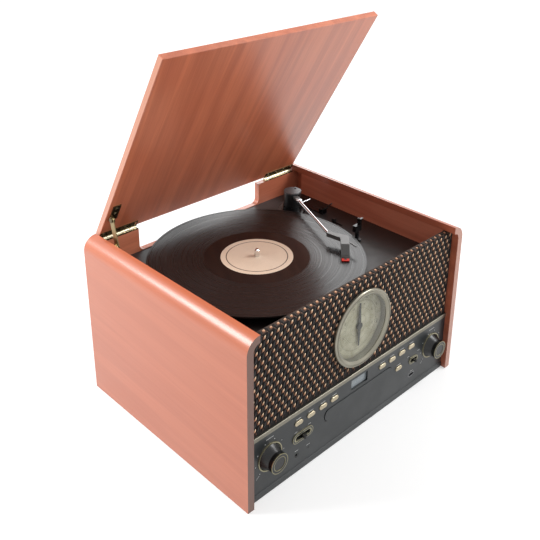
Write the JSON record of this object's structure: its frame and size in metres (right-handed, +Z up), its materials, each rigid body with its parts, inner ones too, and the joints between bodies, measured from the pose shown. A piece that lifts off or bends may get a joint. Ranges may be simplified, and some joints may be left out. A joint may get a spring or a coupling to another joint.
{
  "type": "record player and radio",
  "caption": "Wooden-cased music centre with a lidded record deck, round tuning dial, disc drawer, woven speaker grille and control panel.",
  "frame": {"origin": "floor level, at the middle of the footprint from the knob faces to the back corner of the open lid", "axes": "+X to the right seen from the front, +Y to the back, +Z up"},
  "size_m": [0.412, 0.3413, 0.5215],
  "materials": {
    "side_panel_left": "satin lacquered veneer",
    "side_panel_right": "satin lacquered veneer",
    "well_liners": "satin lacquered veneer",
    "rear_board": "satin lacquered veneer",
    "lid": "satin lacquered veneer",
    "base_board": "plain fibreboard",
    "feet": "matt",
    "front_baffle": "plain fibreboard",
    "grille_cloth": "woven cord, tan on black",
    "trim_strip": "champagne anodised",
    "control_panel": "satin grey enamel",
    "panel_rings": "champagne anodised",
    "dial_bezel": "dull pewter plate",
    "dial_glass": "clear, domed",
    "dial_plate": "cream, printed scale",
    "dial_pointer": "dark paint",
    "volume_knob": "satin black moulding",
    "tuning_knob": "satin black moulding",
    "source_switch": "satin black moulding",
    "band_switch": "satin black moulding",
    "control_board": "glass-fibre board",
    "disc_drawer": "satin grey moulding",
    "disc_mechanism": "plated sheet",
    "speakers": "black paint and paper cone",
    "socket_plate": "satin black moulding",
    "main_board": "glass-fibre board",
    "deck_plate": "satin black moulding",
    "spindle": "polished",
    "platter": "cast and turned",
    "platter_mat": "matt",
    "record": "grooved vinyl with paper label",
    "motor_pulley": "turned",
    "platter_motor": "zinc plated",
    "drive_belt": "matt",
    "arm_base": "satin black moulding",
    "arm_turret": "satin, grey cap",
    "tone_arm": "bright tube, grey headshell",
    "cartridge": "red and black",
    "arm_rest": "satin black moulding",
    "arm_clip": "satin black moulding",
    "cue_lever": "plated",
    "speed_lever": "satin black moulding",
    "stop_lever": "satin black moulding",
    "case_hinges": "antiqued",
    "lid_hinges": "antiqued",
    "case_screws": "antiqued",
    "lid_screws": "antiqued",
    "stay_lid_bracket": "antiqued",
    "stay_upper_link": "antiqued",
    "stay_lower_link": "antiqued",
    "stay_wall_bracket": "antiqued",
    "button_1": "champagne plate",
    "button_2": "champagne plate",
    "button_3": "champagne plate",
    "button_4": "champagne plate",
    "button_5": "champagne plate",
    "button_6": "champagne plate",
    "button_7": "champagne plate",
    "button_8": "champagne plate",
    "button_9": "champagne plate"
  },
  "bodies": {
    "case": {"side_panel_left": "side_panel_left", "side_panel_right": "side_panel_right", "well_liners": "well_liners", "rear_board": "rear_board", "base_board": "base_board", "feet": "feet", "front_baffle": "front_baffle", "grille_cloth": "grille_cloth", "trim_strip": "trim_strip", "control_panel": "control_panel", "panel_rings": "panel_rings", "dial_bezel": "dial_bezel", "dial_glass": "dial_glass", "dial_plate": "dial_plate", "control_board": "control_board", "disc_mechanism": "disc_mechanism", "speakers": "speakers", "socket_plate": "socket_plate", "main_board": "main_board", "deck_plate": "deck_plate", "spindle": "spindle", "platter_motor": "platter_motor", "drive_belt": "drive_belt", "arm_base": "arm_base", "arm_rest": "arm_rest", "case_hinges": "case_hinges", "case_screws": "case_screws", "stay_wall_bracket": "stay_wall_bracket"},
    "dial_pointer": {"dial_pointer": "dial_pointer"},
    "volume_knob": {"volume_knob": "volume_knob"},
    "tuning_knob": {"tuning_knob": "tuning_knob"},
    "source_switch": {"source_switch": "source_switch"},
    "band_switch": {"band_switch": "band_switch"},
    "disc_drawer": {"disc_drawer": "disc_drawer"},
    "platter": {"platter": "platter", "platter_mat": "platter_mat", "record": "record"},
    "motor_pulley": {"motor_pulley": "motor_pulley"},
    "arm_turret": {"arm_turret": "arm_turret"},
    "tone_arm": {"tone_arm": "tone_arm", "cartridge": "cartridge"},
    "cue_lever": {"cue_lever": "cue_lever"},
    "arm_clip": {"arm_clip": "arm_clip"},
    "speed_lever": {"speed_lever": "speed_lever"},
    "stop_lever": {"stop_lever": "stop_lever"},
    "lid": {"lid": "lid", "lid_hinges": "lid_hinges", "lid_screws": "lid_screws", "stay_lid_bracket": "stay_lid_bracket"},
    "stay_upper_link": {"stay_upper_link": "stay_upper_link"},
    "stay_lower_link": {"stay_lower_link": "stay_lower_link"},
    "button_1": {"button_1": "button_1"},
    "button_2": {"button_2": "button_2"},
    "button_3": {"button_3": "button_3"},
    "button_4": {"button_4": "button_4"},
    "button_5": {"button_5": "button_5"},
    "button_6": {"button_6": "button_6"},
    "button_7": {"button_7": "button_7"},
    "button_8": {"button_8": "button_8"},
    "button_9": {"button_9": "button_9"}
  },
  "joints": [
    {"name": "lid_hinge", "type": "hinge", "parent": "case", "child": "lid", "pos_m": [0, 0.16386, 0.2318], "axis": [-1, 0, 0], "range_deg": [-59.25, 0]},
    {"name": "stay_upper_pivot", "type": "hinge", "parent": "lid", "child": "stay_upper_link", "pos_m": [-0.1725, 0.13409, 0.27157], "axis": [-1, 0, 0], "range_deg": [0, 93.39]},
    {"name": "stay_lower_pivot", "type": "hinge", "parent": "case", "child": "stay_lower_link", "pos_m": [-0.1725, 0.11996, 0.203], "axis": [-1, 0, 0], "range_deg": [-100.98, 0]},
    {"name": "platter_spin", "type": "hinge", "parent": "case", "child": "platter", "pos_m": [-0.0313, 0.01186, 0.1955], "axis": [0, 0, -1], "continuous": true},
    {"name": "pulley_spin", "type": "hinge", "parent": "case", "child": "motor_pulley", "pos_m": [0.02539, 0.05942, 0.1955], "axis": [0, 0, -1], "continuous": true},
    {"name": "arm_swing", "type": "hinge", "parent": "case", "child": "arm_turret", "pos_m": [0.1319, 0.10616, 0.1955], "axis": [0, 0, 1], "range_deg": [-19.5, 22.5]},
    {"name": "arm_lift", "type": "hinge", "parent": "arm_turret", "child": "tone_arm", "pos_m": [0.1319, 0.10616, 0.2235], "axis": [-0.91, 0.4147, 0], "range_deg": [0, 1.5]},
    {"name": "cue_lever_turn", "type": "hinge", "parent": "case", "child": "cue_lever", "pos_m": [0.158, 0.06396, 0.2], "axis": [-1, 0, 0], "range_deg": [0, 24]},
    {"name": "arm_clip_turn", "type": "hinge", "parent": "case", "child": "arm_clip", "pos_m": [0.13158, -0.03336, 0.22795], "axis": [0, 1, 0], "range_deg": [-178, 0]},
    {"name": "speed_lever_slide", "type": "slide", "parent": "case", "child": "speed_lever", "axis": [0, -1, 0], "range_m": [0, 0.014]},
    {"name": "stop_lever_slide", "type": "slide", "parent": "case", "child": "stop_lever", "axis": [0, -1, 0], "range_m": [0, 0.02]},
    {"name": "volume_turn", "type": "hinge", "parent": "case", "child": "volume_knob", "pos_m": [-0.1628, -0.16204, 0.0547], "axis": [0, 1, 0], "range_deg": [-150, 150]},
    {"name": "tuning_turn", "type": "hinge", "parent": "case", "child": "tuning_knob", "pos_m": [0.1628, -0.16204, 0.0547], "axis": [0, 1, 0], "range_deg": [-270, 270]},
    {"name": "dial_pointer_turn", "type": "hinge", "parent": "case", "child": "dial_pointer", "pos_m": [0, -0.16204, 0.1611], "axis": [0, 1, 0], "range_deg": [-135, 135]},
    {"name": "source_switch_slide", "type": "slide", "parent": "case", "child": "source_switch", "axis": [1, 0, 0], "range_m": [-0.008, 0.008]},
    {"name": "band_switch_slide", "type": "slide", "parent": "case", "child": "band_switch", "axis": [1, 0, 0], "range_m": [-0.004, 0.004]},
    {"name": "disc_drawer_slide", "type": "slide", "parent": "case", "child": "disc_drawer", "axis": [0, -1, 0], "range_m": [0, 0.135]},
    {"name": "button_1_press", "type": "slide", "parent": "case", "child": "button_1", "axis": [0, 1, 0], "range_m": [0, 0.0012], "stiffness_N_per_m": 250, "springref_m": -0.0008},
    {"name": "button_2_press", "type": "slide", "parent": "case", "child": "button_2", "axis": [0, 1, 0], "range_m": [0, 0.0012], "stiffness_N_per_m": 250, "springref_m": -0.0008},
    {"name": "button_3_press", "type": "slide", "parent": "case", "child": "button_3", "axis": [0, 1, 0], "range_m": [0, 0.0012], "stiffness_N_per_m": 250, "springref_m": -0.0008},
    {"name": "button_4_press", "type": "slide", "parent": "case", "child": "button_4", "axis": [0, 1, 0], "range_m": [0, 0.0012], "stiffness_N_per_m": 250, "springref_m": -0.0008},
    {"name": "button_5_press", "type": "slide", "parent": "case", "child": "button_5", "axis": [0, 1, 0], "range_m": [0, 0.0012], "stiffness_N_per_m": 250, "springref_m": -0.0008},
    {"name": "button_6_press", "type": "slide", "parent": "case", "child": "button_6", "axis": [0, 1, 0], "range_m": [0, 0.0012], "stiffness_N_per_m": 250, "springref_m": -0.0008},
    {"name": "button_7_press", "type": "slide", "parent": "case", "child": "button_7", "axis": [0, 1, 0], "range_m": [0, 0.0012], "stiffness_N_per_m": 250, "springref_m": -0.0008},
    {"name": "button_8_press", "type": "slide", "parent": "case", "child": "button_8", "axis": [0, 1, 0], "range_m": [0, 0.0012], "stiffness_N_per_m": 250, "springref_m": -0.0008},
    {"name": "button_9_press", "type": "slide", "parent": "case", "child": "button_9", "axis": [0, 1, 0], "range_m": [0, 0.0012], "stiffness_N_per_m": 250, "springref_m": -0.0008}
  ],
  "couplings": [
    {"joint": "stay_upper_pivot", "follows": "lid_hinge", "ratio": -1.5762},
    {"joint": "stay_lower_pivot", "follows": "lid_hinge", "ratio": 1.7043},
    {"joint": "pulley_spin", "follows": "platter_spin", "ratio": 9.6667},
    {"joint": "cue_lever_turn", "follows": "arm_lift", "ratio": 16},
    {"joint": "dial_pointer_turn", "follows": "tuning_turn", "ratio": 0.5}
  ]
}
